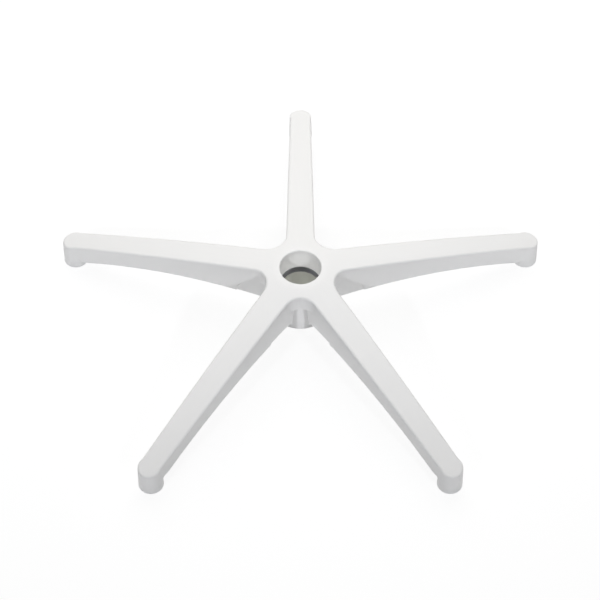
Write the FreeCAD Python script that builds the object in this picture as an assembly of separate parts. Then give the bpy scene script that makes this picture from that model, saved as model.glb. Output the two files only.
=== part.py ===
"""Five star base of an office chair: one moulded piece with a column bore and five caster sockets.

Millimetres. Heights are measured up from the floor under the feet while the shape is built.
The finished solid is then lowered so that the origin lies on the axis of the column bore, at the
hub's top face, with +Z up and +Y along one arm.
"""
import math
import os

import FreeCAD
import Part
from FreeCAD import Vector

# Star plan: the arms grow wider with height because their walls lean out, and end in flared feet
arm_count = 5
first_arm_deg = 90.0
socket_circle_r = 305.0
wall_lean_deg = 4.0
crotch_r = 20.8
foot_r = 15.4
foot_flare_deg = 1.6
foot_step = 0.6

# Side profile of hub and arms, as heights above the floor
hub_height = 104.0
hub_flat_r = 31.0
crown_blend_r = 30.0
arm_mid_share = 0.518
arm_tip_top = 38.0
arm_crown = 2.4
arm_root_r = 56.0
arm_root_bottom = 41.0
arm_end_gap = 20.0
arm_end_bottom = 12.4
arm_arch = 12.0

# Hub tube and the bore for the gas column
tube_r = 36.0
tube_bottom = 24.0
tube_gusset_r = 15.0
bore_r = 25.6
bore_land = 32.5
mouth_lead_in = 0.8
relief_r = 31.5
relief_height = 9.0
seat_top_r = 24.6
seat_taper_deg = 1.4378

# Arch cut under the web between two arms
arch_r = 36.0
arch_centre_height = 41.0
arch_setback = 1.2
arch_corner_r = 4.0

# Hollow underside with its ribs
hollow_root_half_width = 10.4
hollow_tip_half_width = 8.2
core_draft_deg = 0.75
top_wall = 5.0
spine_rib = 3.2
spine_rib_recess = 3.0
cross_rib = 2.6
cross_rib_recess = 9.0
cross_rib_pitch = 36.0

# Caster sockets
socket_r = 5.5
socket_depth = 25.0
socket_lead_in = 0.8

# Edge rounding
rim_round_r = 2.6
foot_blend_r = 12.0

arm_step_deg = 360.0 / arm_count
half_step = math.radians(arm_step_deg / 2)
wall_lean = math.tan(math.radians(wall_lean_deg))
foot_flare = math.tan(math.radians(foot_flare_deg))
core_draft = math.tan(math.radians(core_draft_deg))
arm_tip_half_width = foot_r - arm_tip_top * foot_flare - foot_step
arm_mid_r = arm_mid_share * socket_circle_r
arm_end_r = socket_circle_r - arm_end_gap
reach = socket_circle_r + 2 * foot_r
sky = hub_height + foot_r
pit = -foot_r
centre_axis = Vector(0, 0, 1)


def star_wire(height, root, tip, corner_r):
    """Outline of the star at a height: straight arm sides, square ends, a round in each crotch."""
    taper = math.atan2(root - tip, socket_circle_r)
    centre_r = (root * math.cos(taper) + corner_r) / math.sin(half_step + taper)
    bisector = Vector(math.cos(half_step), math.sin(half_step), 0)
    up = Vector(0, 0, height)
    side_end = Vector(socket_circle_r, tip, height)
    side_start = bisector * centre_r - Vector(math.sin(taper), math.cos(taper), 0) * corner_r + up
    crotch = bisector * (centre_r - corner_r) + up

    def mirrored(p):
        return Vector(p.x, -p.y, p.z)

    edges = []
    for i in range(arm_count):
        this_arm = FreeCAD.Rotation(centre_axis, first_arm_deg + i * arm_step_deg)
        next_arm = FreeCAD.Rotation(centre_axis, first_arm_deg + (i + 1) * arm_step_deg)
        right_start = this_arm.multVec(mirrored(side_start))
        right_end = this_arm.multVec(mirrored(side_end))
        left_end = this_arm.multVec(side_end)
        left_start = this_arm.multVec(side_start)
        next_start = next_arm.multVec(mirrored(side_start))
        edges.append(Part.LineSegment(right_start, right_end).toShape())
        edges.append(Part.LineSegment(right_end, left_end).toShape())
        edges.append(Part.LineSegment(left_end, left_start).toShape())
        edges.append(Part.Arc(left_start, this_arm.multVec(crotch), next_start).toShape())
    return Part.Wire(edges)


def outer_wire(height, inset, corner_r):
    """Outer outline, moved in by an inset; the walls lean in towards the floor."""
    half_width = arm_tip_half_width - (arm_tip_top - height) * wall_lean - inset
    return star_wire(height, half_width, half_width, corner_r + (hub_height - height) * wall_lean)


def hollow_wire(height):
    """Outline of the hollow under the arms, opening towards the floor."""
    opening = (hub_height - height) * core_draft
    return star_wire(height, hollow_root_half_width + opening, hollow_tip_half_width + opening, arch_corner_r)


def at(r, height):
    """A point of the side profile, drawn in the XZ plane."""
    return Vector(r, 0, height)


def bowed_circle(first, last, bow):
    """Centre and radius of a profile arc that rises by a bow above its chord, at the arm's middle."""
    share = (arm_mid_r - first.x) / (last.x - first.x)
    middle = first + (last - first) * share + Vector(0, 0, bow)
    circle = Part.Circle(first, middle, last)
    return circle.Center, circle.Radius


def on_arc(centre, radius, r):
    """The upper point of a profile circle at a distance from the hub axis."""
    return at(r, centre.z + math.sqrt(radius**2 - (r - centre.x) ** 2))


def eased(first, corner, last):
    """A parabola that rounds off a corner of the profile."""
    curve = Part.BezierCurve()
    curve.setPoles([first, corner, last])
    return curve.toShape()


def top_edges():
    """Hub flat, blend and crowned arm top, from the axis out past the tips."""
    hub_edge = at(hub_flat_r, hub_height)
    centre, radius = bowed_circle(hub_edge, at(socket_circle_r, arm_tip_top), arm_crown)
    blend_height = hub_height - crown_blend_r
    offset = math.sqrt((radius - crown_blend_r) ** 2 - (blend_height - centre.z) ** 2)
    blend_centre = at(centre.x + offset, blend_height)
    flat_end = at(blend_centre.x, hub_height)
    outward = (blend_centre - centre).normalize()
    half = (centre_axis + outward).normalize()
    crown_start = centre + outward * radius
    crown_mid = on_arc(centre, radius, (crown_start.x + reach) / 2)
    crown_end = on_arc(centre, radius, reach)
    return [
        Part.LineSegment(at(0, hub_height), flat_end).toShape(),
        Part.Arc(flat_end, blend_centre + half * crown_blend_r, crown_start).toShape(),
        Part.Arc(crown_start, crown_mid, crown_end).toShape(),
    ]


def bottom_edges():
    """Hub tube end, tube side, gusset and arm underside to the foot, from the axis out past the tips."""
    root = at(arm_root_r, arm_root_bottom)
    arm_end = at(arm_end_r, arm_end_bottom)
    centre, radius = bowed_circle(root, arm_end, arm_arch)
    gusset_centre = on_arc(centre, radius - tube_gusset_r, tube_r + tube_gusset_r)
    outward = (gusset_centre - centre).normalize()
    tube_end = at(tube_r, tube_bottom)
    gusset_start = at(tube_r, gusset_centre.z)
    arm_start = centre + outward * radius
    corner = at(tube_r, arm_start.z + (arm_start.x - tube_r) * outward.x / outward.z)
    arm_mid = on_arc(centre, radius, (arm_start.x + arm_end_r) / 2)
    return [
        Part.LineSegment(at(0, tube_bottom), tube_end).toShape(),
        Part.LineSegment(tube_end, gusset_start).toShape(),
        eased(gusset_start, corner, arm_start),
        Part.Arc(arm_start, arm_mid, arm_end).toShape(),
        Part.LineSegment(arm_end, at(reach, arm_end_bottom)).toShape(),
    ]


def revolved(edges, closing_height):
    """Turn the area between a profile and a level line about the bore axis."""
    first = edges[0].Vertexes[0].Point
    last = edges[-1].Vertexes[-1].Point
    corner_out = at(last.x, closing_height)
    corner_in = at(0, closing_height)
    closing = [
        Part.LineSegment(last, corner_out).toShape(),
        Part.LineSegment(corner_out, corner_in).toShape(),
        Part.LineSegment(corner_in, first).toShape(),
    ]
    area = Part.Face(Part.Wire(edges + closing))
    area.rotate(Vector(), centre_axis, first_arm_deg + arm_step_deg / 2)
    return area.revolve(Vector(), centre_axis, 360)


def foot_cone(low, high):
    """The flared round wall of a foot, over +X, between two heights."""
    place = Vector(socket_circle_r, 0, low)
    return Part.makeCone(foot_r - low * foot_flare, foot_r - high * foot_flare, high - low, place)


def each_arm(shape):
    """Copies of a shape made along +X, turned onto every arm."""
    turns = [first_arm_deg + i * arm_step_deg for i in range(arm_count)]
    return [shape.rotated(Vector(), centre_axis, turn) for turn in turns]


def upward(face):
    """How far a face's middle looks up, from -1 to 1."""
    u0, u1, v0, v1 = face.ParameterRange
    return face.normalAt((u0 + u1) / 2, (v0 + v1) / 2).z


def edges_between(solid, first, second):
    """Edges whose two faces pass one test each."""
    found = []
    for edge in solid.Edges:
        faces = solid.ancestorsOfType(edge, Part.Face)
        if len(faces) == 2:
            a, b = faces
            if (first(a) and second(b)) or (first(b) and second(a)):
                found.append(edge)
    return found


def is_wall(face):
    """A face that stands within about 17 degrees of upright."""
    return abs(upward(face)) < 0.3


def is_top(face):
    """A face that looks up more than sideways."""
    return upward(face) > 0.5


def is_foot(face):
    """The flared round wall of a foot."""
    return isinstance(face.Surface, Part.Cone)


def is_side(face):
    """A wall that is not a foot's."""
    return is_wall(face) and not is_foot(face)


# Arms and hub under the crowned top, blended into a round boss at each end
under_top = revolved(top_edges(), pit)
over_bottom = revolved(bottom_edges(), sky)
plan = Part.makeLoft([outer_wire(pit, 0, crotch_r), outer_wire(sky, 0, crotch_r)], True, True)
bosses = each_arm(foot_cone(pit, sky))
star = plan.fuse(bosses).common(under_top).removeSplitter()
star = star.makeFillet(foot_blend_r, edges_between(star, is_foot, is_side))
star = star.makeFillet(rim_round_r, edges_between(star, is_top, is_wall))

# Underside of the arms; each boss goes on down to the floor as a foot
feet = each_arm(foot_cone(0, arm_tip_top / 2))
star = star.common(over_bottom).fuse(feet).removeSplitter()

# Arches under the webs, back to the arm walls and the hub tube
tube = Part.makeCylinder(tube_r, sky - pit, Vector(0, 0, pit))
set_back = Part.makeLoft(
    [outer_wire(pit, arch_setback, arch_corner_r), outer_wire(sky, arch_setback, arch_corner_r)], True, True
)
arch_axis = Vector(math.cos(half_step), math.sin(half_step), 0)
arch = Part.makeCylinder(arch_r, arm_mid_r, Vector(0, 0, arch_centre_height), arch_axis)
gap_corner = Vector(math.cos(2 * half_step), math.sin(2 * half_step), 0) * reach
gap = Part.Face(Part.makePolygon([Vector(), Vector(reach, 0, 0), gap_corner, Vector()]))
arch = arch.common(gap.extrude(Vector(0, 0, sky)))
star = star.cut([a.cut([set_back, tube]) for a in each_arm(arch)])

# Hollow under the arms, with a spine rib and cross ribs left standing in it
ceiling = under_top.translated(Vector(0, 0, -top_wall))
hollow = Part.makeLoft([hollow_wire(pit), hollow_wire(sky)], True, True).common(ceiling)
hollow = hollow.cut([tube] + bosses)
rib_start = tube_r - spine_rib
rib_end = socket_circle_r - foot_r + spine_rib
spine = Part.makeBox(rib_end - rib_start, spine_rib, sky - pit, Vector(rib_start, -spine_rib / 2, pit))
spine_room = over_bottom.translated(Vector(0, 0, spine_rib_recess))
cross_room = over_bottom.translated(Vector(0, 0, cross_rib_recess))
cross_count = int((rib_end - rib_start) // cross_rib_pitch)
cross_ribs = []
for i in range(1, cross_count + 1):
    corner = Vector(rib_end - i * cross_rib_pitch - cross_rib / 2, -foot_r, pit)
    cross_ribs.append(Part.makeBox(cross_rib, 2 * foot_r, sky - pit, corner))
spines = [s.common(spine_room) for s in each_arm(spine)]
crosses = [c.common(cross_room) for c in each_arm(Part.makeCompound(cross_ribs))]
star = star.cut(hollow.cut(spines + crosses))

# Column bore: lead-in, upper land, relief groove and tapered seat
seat_top = hub_height - bore_land - relief_height
seat_bottom_r = seat_top_r - (seat_top - tube_bottom) * math.tan(math.radians(seat_taper_deg))
land = Part.makeCylinder(bore_r, bore_land, Vector(0, 0, hub_height - bore_land))
relief = Part.makeCylinder(relief_r, relief_height, Vector(0, 0, seat_top))
seat = Part.makeCone(seat_bottom_r, seat_top_r, seat_top - tube_bottom, Vector(0, 0, tube_bottom))
mouth_place = Vector(0, 0, hub_height - mouth_lead_in)
mouth = Part.makeCone(bore_r, bore_r + mouth_lead_in, mouth_lead_in, mouth_place)
star = star.cut([mouth, land, relief, seat])

# Caster sockets with a lead-in, up into the feet
socket = Part.makeCylinder(socket_r, socket_depth, Vector(socket_circle_r, 0, 0))
lead_in = Part.makeCone(socket_r + socket_lead_in, socket_r, socket_lead_in, Vector(socket_circle_r, 0, 0))
star = star.cut(each_arm(socket) + each_arm(lead_in))

star.translate(Vector(0, 0, -hub_height))
print("base", star.isValid(), round(star.Volume), len(star.Solids), len(star.Faces))
os.makedirs("parts", exist_ok=True)
star.exportStep("parts/five_star_base.step")
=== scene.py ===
# %% [markdown]
# # Five star base of an office chair
# The base is one white moulding: a hub with a bore for the gas column, and five arms that fall away
# to round feet. Its whole shape comes from the solid model, so this lesson is about the rest: a
# camera that stands where a photographer stood, soft light that models white on white, and a
# finish that still reads as moulded nylon when the camera comes close.

# %% Load the solid model
import math

import bpy
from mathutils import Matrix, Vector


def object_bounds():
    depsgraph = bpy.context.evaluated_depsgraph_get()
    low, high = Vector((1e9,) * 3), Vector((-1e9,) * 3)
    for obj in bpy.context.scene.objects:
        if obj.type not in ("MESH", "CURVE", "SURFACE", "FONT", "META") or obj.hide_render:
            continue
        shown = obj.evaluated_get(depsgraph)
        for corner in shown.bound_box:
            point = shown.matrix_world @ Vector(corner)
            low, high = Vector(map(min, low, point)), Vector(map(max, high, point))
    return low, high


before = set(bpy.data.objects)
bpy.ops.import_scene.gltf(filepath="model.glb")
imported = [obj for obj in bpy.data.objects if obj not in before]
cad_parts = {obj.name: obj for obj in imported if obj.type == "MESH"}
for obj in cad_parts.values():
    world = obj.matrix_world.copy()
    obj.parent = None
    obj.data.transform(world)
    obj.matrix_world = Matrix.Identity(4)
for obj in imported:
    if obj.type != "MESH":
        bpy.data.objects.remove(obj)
solid_low, solid_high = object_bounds()
scene = bpy.context.scene
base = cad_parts["five_star_base"]
floor_z = solid_low.z
print("base stands on", round(floor_z, 4), "and has", len(base.data.polygons), "faces")

# %% [markdown]
# ## Camera
# The arms look long at the front and short at the back, so the camera is high and not far away.
# Distance and lens belong together: the photographed sizes of the near and far arms settle both.
# The camera looks at a point on the hub's axis, a little above the floor.

# %% Camera
camera_distance = 2.7064
camera_elevation = math.radians(53.55)
look_height = 0.0360
lens_mm = 129.3
sensor_mm = 36.0
picture_px = 600
axis_px = 300.45

eye = bpy.data.cameras.new("eye")
eye.sensor_width = sensor_mm
eye.lens = lens_mm
eye.shift_x = (picture_px / 2 - axis_px) / picture_px
camera = bpy.data.objects.new("camera", eye)
camera.location = (
    0.0,
    -camera_distance * math.cos(camera_elevation),
    floor_z + look_height + camera_distance * math.sin(camera_elevation),
)
camera.rotation_euler = (math.pi / 2 - camera_elevation, 0.0, 0.0)
scene.collection.objects.link(camera)
scene.camera = camera
print("camera at", [round(v, 3) for v in camera.location])

# %% [markdown]
# ## Node helpers
# A material is a tree of nodes, and making one in code means adding nodes and joining their sockets.
# A few short functions keep that readable. The last one tells the rays that are seen from the light
# that spreads, because a white background should look white without more light on the object.

# %% Node helpers
def wire(tree, out_socket, in_socket):
    """Join two sockets of a node tree."""
    tree.links.new(out_socket, in_socket)


def feed(tree, slot, value):
    """Give a slot what another socket puts out, or a plain value."""
    if isinstance(value, bpy.types.NodeSocket):
        wire(tree, value, slot)
    else:
        slot.default_value = value


def add_node(tree, kind, **settings):
    """Add a node and set its own properties by name."""
    node = tree.nodes.new(kind)
    for name, value in settings.items():
        setattr(node, name, value)
    return node


def combined(tree, operation, first, second):
    """Combine two sockets, or a socket and a number, with one Math node."""
    node = add_node(tree, "ShaderNodeMath", operation=operation)
    feed(tree, node.inputs[0], first)
    feed(tree, node.inputs[1], second)
    return node.outputs[0]


def mixed(tree, share, first, second):
    """Mix two shader nodes: a share of 0 gives the first, 1 the second."""
    node = add_node(tree, "ShaderNodeMixShader")
    wire(tree, share, node.inputs["Fac"])
    wire(tree, first.outputs[0], node.inputs[1])
    wire(tree, second.outputs[0], node.inputs[2])
    return node


def blank_material(name):
    """A material with an empty tree, that tree, and its output node."""
    material = bpy.data.materials.new(name)
    material.use_nodes = True
    tree = material.node_tree
    tree.nodes.clear()
    return material, tree, add_node(tree, "ShaderNodeOutputMaterial")


def seen_directly(tree):
    """1 for rays from the camera and for mirrored or refracted ones, 0 for light that spreads."""
    path = add_node(tree, "ShaderNodeLightPath")
    seen = combined(tree, "MAXIMUM", path.outputs["Is Camera Ray"], path.outputs["Is Glossy Ray"])
    return combined(tree, "MAXIMUM", seen, path.outputs["Is Transmission Ray"])


floor_material, floor_tree, floor_out = blank_material("white_floor")
print("empty material:", floor_material.name)

# %% [markdown]
# ## Floor
# A white object on a white floor needs the floor's bounce, which fills the shade on the arms' side
# walls. So the floor is a real white surface for the light, and only where it is seen, directly or
# in a gloss, does it glow brighter. A part of the real surface stays in what is seen, so that the base
# keeps its soft shadow. From underneath the floor lets the camera through, and the ribs show.

# %% Floor sheet
floor_half = 15.0
corner_signs = ((-1, -1), (1, -1), (1, 1), (-1, 1))

floor_corners = [(x * floor_half, y * floor_half, floor_z) for x, y in corner_signs]
floor_mesh = bpy.data.meshes.new("floor")
floor_mesh.from_pydata(floor_corners, [], [(0, 1, 2, 3)])
floor = bpy.data.objects.new("floor", floor_mesh)
scene.collection.objects.link(floor)
print("floor is", 2 * floor_half, "m wide")

# %% Floor surface
floor_white = 0.90
seen_white = 1.06
seen_share = 0.84

paint = add_node(floor_tree, "ShaderNodeBsdfDiffuse")
paint.inputs["Color"].default_value = (floor_white, floor_white, floor_white, 1.0)
glow = add_node(floor_tree, "ShaderNodeEmission")
glow.inputs["Strength"].default_value = seen_white
glow_share = combined(floor_tree, "MULTIPLY", seen_directly(floor_tree), seen_share)
shown_floor = mixed(floor_tree, glow_share, paint, glow)
facing = add_node(floor_tree, "ShaderNodeNewGeometry")
through = add_node(floor_tree, "ShaderNodeBsdfTransparent")
one_sided = mixed(floor_tree, facing.outputs["Backfacing"], shown_floor, through)
wire(floor_tree, one_sided.outputs[0], floor_out.inputs["Surface"])
floor_mesh.materials.append(floor_material)
print("floor wears", [m.name for m in floor_mesh.materials])

# %% [markdown]
# ## Light
# The tops are brightest on the back arm and fade towards the front feet, so one broad soft lamp hangs
# near the base, above and behind it: a near lamp fades over the length of an arm, a far one does not.
# It has to be broad, because a small one would show as a hot spot on the hub's flat top.
# Two small lamps stand far away in front, one on each side. They make the shadows that model the
# corners between the arms: the column's tube is bright where both lamps reach it, half as bright
# where one does, and dark beside the arms. They stand just low enough to light the bore's upper part
# and to leave the groove below it in shade. Each is a soft-edged spot, and both beams point behind the
# hub, so that the near feet stand in their dimmer edge.

# %% Broad lamp behind
def add_lamp(name, kind, stand, aim, watts, colour):
    """A lamp of a kind that stands at one point and is turned towards another."""
    lamp = bpy.data.lights.new(name, kind)
    lamp.energy = watts
    lamp.color = colour
    holder = bpy.data.objects.new(name, lamp)
    holder.location = stand
    towards = [a - s for a, s in zip(aim, stand)]
    flat = math.hypot(towards[0], towards[1])
    holder.rotation_euler = (
        math.pi / 2 + math.atan2(towards[2], flat),
        0.0,
        math.atan2(-towards[0], towards[1]),
    )
    scene.collection.objects.link(holder)
    return lamp


warm_white = (1.0, 0.992, 0.976)
hub_middle = (0.0, 0.0, floor_z / 2)
back_stand = (0.0, 1.2, 1.6)
back_watts = 41.5
back_width = 2.4

back_lamp = add_lamp("back_lamp", "AREA", back_stand, hub_middle, back_watts, warm_white)
back_lamp.size = back_width
print("back lamp is", back_width, "m wide")

# %% Two spots in front
cool_white = (0.94, 0.955, 1.0)
front_distance = 10.0
front_turn = math.radians(36.0)
front_rise = math.radians(36.5)
front_aim = (0.0, 0.6, floor_z / 2)
front_watts = 1290.0
front_radius = 0.2
front_cone = math.radians(14.0)
front_fade = 1.0

for side, turn in (("left", -front_turn), ("right", front_turn)):
    front_stand = (
        front_distance * math.cos(front_rise) * math.sin(turn),
        -front_distance * math.cos(front_rise) * math.cos(turn),
        front_distance * math.sin(front_rise),
    )
    beam = add_lamp(side + "_front_lamp", "SPOT", front_stand, front_aim, front_watts, cool_white)
    beam.shadow_soft_size = front_radius
    beam.spot_size = front_cone
    beam.spot_blend = front_fade

# %% [markdown]
# ## Surroundings
# The camera sees plain white past the floor's edge. For light that spreads, the surroundings give only
# a little even light, so that no corner under the ribs goes quite black.

# %% White surroundings
plain_white = (1.0, 1.0, 1.0, 1.0)
around_strength = 0.024

world = bpy.data.worlds.new("surroundings")
world.use_nodes = True
world_tree = world.node_tree
world_tree.nodes.clear()
dim = add_node(world_tree, "ShaderNodeBackground")
dim.inputs["Color"].default_value = plain_white
dim.inputs["Strength"].default_value = around_strength
bright = add_node(world_tree, "ShaderNodeBackground")
bright.inputs["Color"].default_value = plain_white
both = mixed(world_tree, seen_directly(world_tree), dim, bright)
world_out = add_node(world_tree, "ShaderNodeOutputWorld")
wire(world_tree, both.outputs[0], world_out.inputs["Surface"])
scene.world = world
scene.view_settings.view_transform = "Standard"
print("surroundings give", around_strength)

# %% [markdown]
# ## Moulded nylon: where on the base
# A mould fills from the hub outwards, so marks of the flow run along the arms. Object coordinates say
# where a point lies, and turned into a distance from the axis and a direction round it they give every
# arm the same kind of streaks without a seam: the direction is kept as a unit vector, not an angle.

# %% Distance, direction and height
nylon, nylon_tree, nylon_out = blank_material("white_nylon")
place = add_node(nylon_tree, "ShaderNodeTexCoord").outputs["Object"]
split = add_node(nylon_tree, "ShaderNodeSeparateXYZ")
wire(nylon_tree, place, split.inputs["Vector"])
level = add_node(nylon_tree, "ShaderNodeCombineXYZ")
wire(nylon_tree, split.outputs["X"], level.inputs["X"])
wire(nylon_tree, split.outputs["Y"], level.inputs["Y"])
span = add_node(nylon_tree, "ShaderNodeVectorMath", operation="LENGTH")
wire(nylon_tree, level.outputs[0], span.inputs[0])
heading = add_node(nylon_tree, "ShaderNodeVectorMath", operation="NORMALIZE")
wire(nylon_tree, level.outputs[0], heading.inputs[0])
from_axis = span.outputs["Value"]
height = split.outputs["Z"]
print("coordinates for", nylon.name)

# %% [markdown]
# ## Moulded nylon: grain
# Glass-filled nylon leaves the mould with a satin skin. The tool's fine spark-eroded grain is copied
# into it, about half a millimetre from dot to dot. It is far too fine for the mesh, so a noise goes into
# the normal. It stays weak: from a step away the base is smooth, and only a close look finds it.

# %% Grain
grain_size = 0.0005
grain_depth = 0.00012

grain = add_node(nylon_tree, "ShaderNodeTexNoise")
grain.inputs["Scale"].default_value = 1.0 / grain_size
wire(nylon_tree, place, grain.inputs["Vector"])
relief = add_node(nylon_tree, "ShaderNodeBump")
relief.inputs["Distance"].default_value = grain_depth
wire(nylon_tree, grain.outputs[0], relief.inputs["Height"])
print("grain of", grain_size, "m")

# %% [markdown]
# ## Moulded nylon: flow
# The flow shows more faintly still, as long streaks that are a shade greyer and a little duller. A
# second noise makes them. Its place is counted in streaks already: in the direction round the axis by a
# streak's width in radians, and in the distance from the axis by a streak's length.

# %% Flow
streak_turn = 0.03
streak_length = 0.08
flow_scale = 1.0
flow_detail = 3.0

around = add_node(nylon_tree, "ShaderNodeVectorMath", operation="SCALE")
around.inputs["Scale"].default_value = 1.0 / streak_turn
wire(nylon_tree, heading.outputs[0], around.inputs[0])
along = add_node(nylon_tree, "ShaderNodeCombineXYZ")
wire(nylon_tree, combined(nylon_tree, "MULTIPLY", from_axis, 1.0 / streak_length), along.inputs["Z"])
flow_place = add_node(nylon_tree, "ShaderNodeVectorMath", operation="ADD")
wire(nylon_tree, around.outputs[0], flow_place.inputs[0])
wire(nylon_tree, along.outputs[0], flow_place.inputs[1])
flow = add_node(nylon_tree, "ShaderNodeTexNoise")
flow.inputs["Scale"].default_value = flow_scale
flow.inputs["Detail"].default_value = flow_detail
wire(nylon_tree, flow_place.outputs[0], flow.inputs["Vector"])
print("streaks of", streak_length, "m")

# %% [markdown]
# ## Moulded nylon: the bore
# The bore's upper land is painted a shade whiter than the nylon: painted light. Below it lies the relief
# groove, painted a darker grey as painted shade, and then the seat for the column's taper, with a faint
# olive that is a painted tint of light bounced deep in the bore. All three lie at known heights under
# the hub's top, so height and distance from the axis pick them out. A small margin keeps the limits off
# the faces themselves.

# %% Bore masks for painted light and shade
groove_top = -0.0325
groove_bottom = -0.0415
bore_r = 0.0256
seat_top_r = 0.0246
tube_r = 0.036
margin = 0.0001


def between(tree, value, low, high):
    """1 where a value lies between two limits, otherwise 0."""
    above = combined(tree, "GREATER_THAN", value, low)
    below = combined(tree, "LESS_THAN", value, high)
    return combined(tree, "MULTIPLY", above, below)


def ring(tree, low, high, inner_r, outer_r):
    """1 in a ring round the axis, between two heights and two radii, otherwise 0."""
    in_height = between(tree, height, low, high)
    in_reach = between(tree, from_axis, inner_r, outer_r)
    return combined(tree, "MULTIPLY", in_height, in_reach)


groove_ceiling = groove_top + margin
groove_floor = groove_bottom - margin
# Mask for the painted light on the bore's upper land.
painted_light_on_land = ring(nylon_tree, groove_ceiling, 0.0, 0.0, bore_r + margin)
# Mask for the painted shade in the groove.
painted_shade_in_groove = ring(nylon_tree, groove_floor, groove_ceiling, seat_top_r + margin, tube_r - margin)
# Mask for the painted tint of bounced light on the seat.
painted_tint_on_seat = ring(nylon_tree, floor_z, groove_floor, 0.0, seat_top_r)
print("groove between", groove_bottom, "and", groove_top)

# %% [markdown]
# ## Moulded nylon: colours and gloss
# The colours are mixed one after the other, and the Principled shader takes the result. The groove gets
# a darker grey as painted shade, the seat a faint olive as a painted tint of bounced light, and the land
# a whiter tone as painted light. The roughness swings a little with the flow, between a satin and a
# slightly duller value.

# %% Colours of the nylon, and painted light and shade in the bore
nylon_white = (0.865, 0.860, 0.846, 1.0)
streak_white = (0.845, 0.841, 0.828, 1.0)
# Painted light: the land a shade whiter than the nylon.
land_painted_light = (0.93, 0.925, 0.905, 1.0)
# Painted shade: the groove darker than its own shade gives.
groove_painted_shade = (0.53, 0.535, 0.55, 1.0)
# Painted tint of light bounced deep in the bore, on the seat.
seat_painted_bounce_tint = (0.86, 0.865, 0.80, 1.0)


def tinted(tree, share, first, second):
    """Mix two colours, each a plain one or a socket: a share of 0 gives the first, 1 the second."""
    mix = add_node(tree, "ShaderNodeMix", data_type="RGBA")
    first_slot, second_slot = [s for s in mix.inputs if s.type == "RGBA"]
    feed(tree, first_slot, first)
    feed(tree, second_slot, second)
    wire(tree, share, mix.inputs[0])
    return [s for s in mix.outputs if s.type == "RGBA"][0]


colour = tinted(nylon_tree, flow.outputs[0], nylon_white, streak_white)
# Painted light on the bore's upper land.
colour = tinted(nylon_tree, painted_light_on_land, colour, land_painted_light)
# Painted shade in the groove.
colour = tinted(nylon_tree, painted_shade_in_groove, colour, groove_painted_shade)
# Painted tint of bounced light on the seat.
colour = tinted(nylon_tree, painted_tint_on_seat, colour, seat_painted_bounce_tint)
print("colour comes from", colour.node.name)

# %% White nylon
satin = 0.36
dull = 0.44

gloss = add_node(nylon_tree, "ShaderNodeMapRange")
gloss.inputs["To Min"].default_value = satin
gloss.inputs["To Max"].default_value = dull
wire(nylon_tree, flow.outputs[0], gloss.inputs["Value"])

skin = add_node(nylon_tree, "ShaderNodeBsdfPrincipled")
wire(nylon_tree, colour, skin.inputs["Base Color"])
wire(nylon_tree, gloss.outputs[0], skin.inputs["Roughness"])
wire(nylon_tree, relief.outputs[0], skin.inputs["Normal"])
wire(nylon_tree, skin.outputs[0], nylon_out.inputs["Surface"])
base.data.materials.clear()
base.data.materials.append(nylon)
print("base wears", [m.name for m in base.data.materials])
